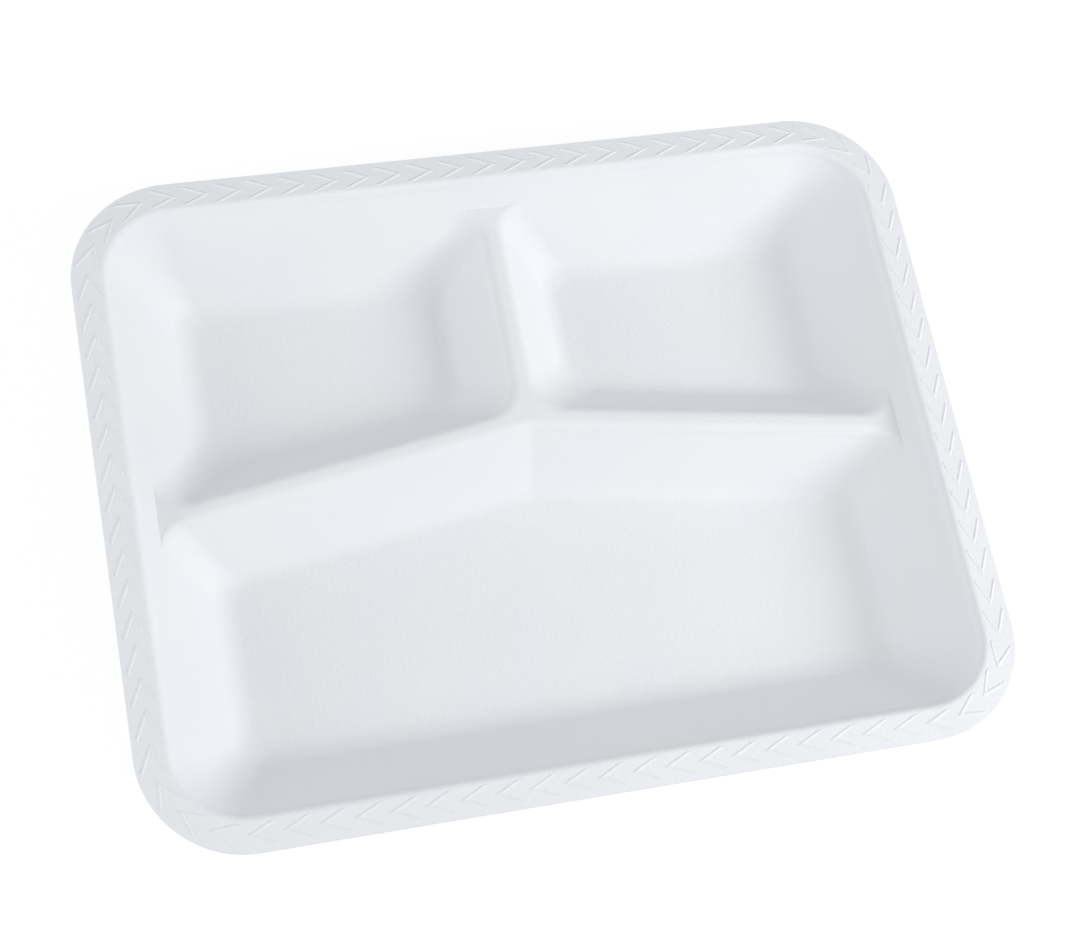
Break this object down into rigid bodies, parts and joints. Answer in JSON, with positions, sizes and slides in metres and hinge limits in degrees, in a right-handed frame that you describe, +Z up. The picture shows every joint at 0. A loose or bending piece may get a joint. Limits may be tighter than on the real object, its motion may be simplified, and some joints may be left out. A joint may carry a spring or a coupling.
{
  "type": "foam tray",
  "caption": "White moulded foam tray with one large and two small compartments, hollow dividers and a sloping rim embossed with chevrons.",
  "frame": {"origin": "on the table under the middle of the tray", "axes": "+X along the long side, +Y towards the two small compartments, +Z up"},
  "size_m": [0.26, 0.206, 0.0313],
  "materials": {
    "foam": "matte"
  },
  "bodies": {
    "root": {"tray": "foam"}
  },
  "joints": []
}
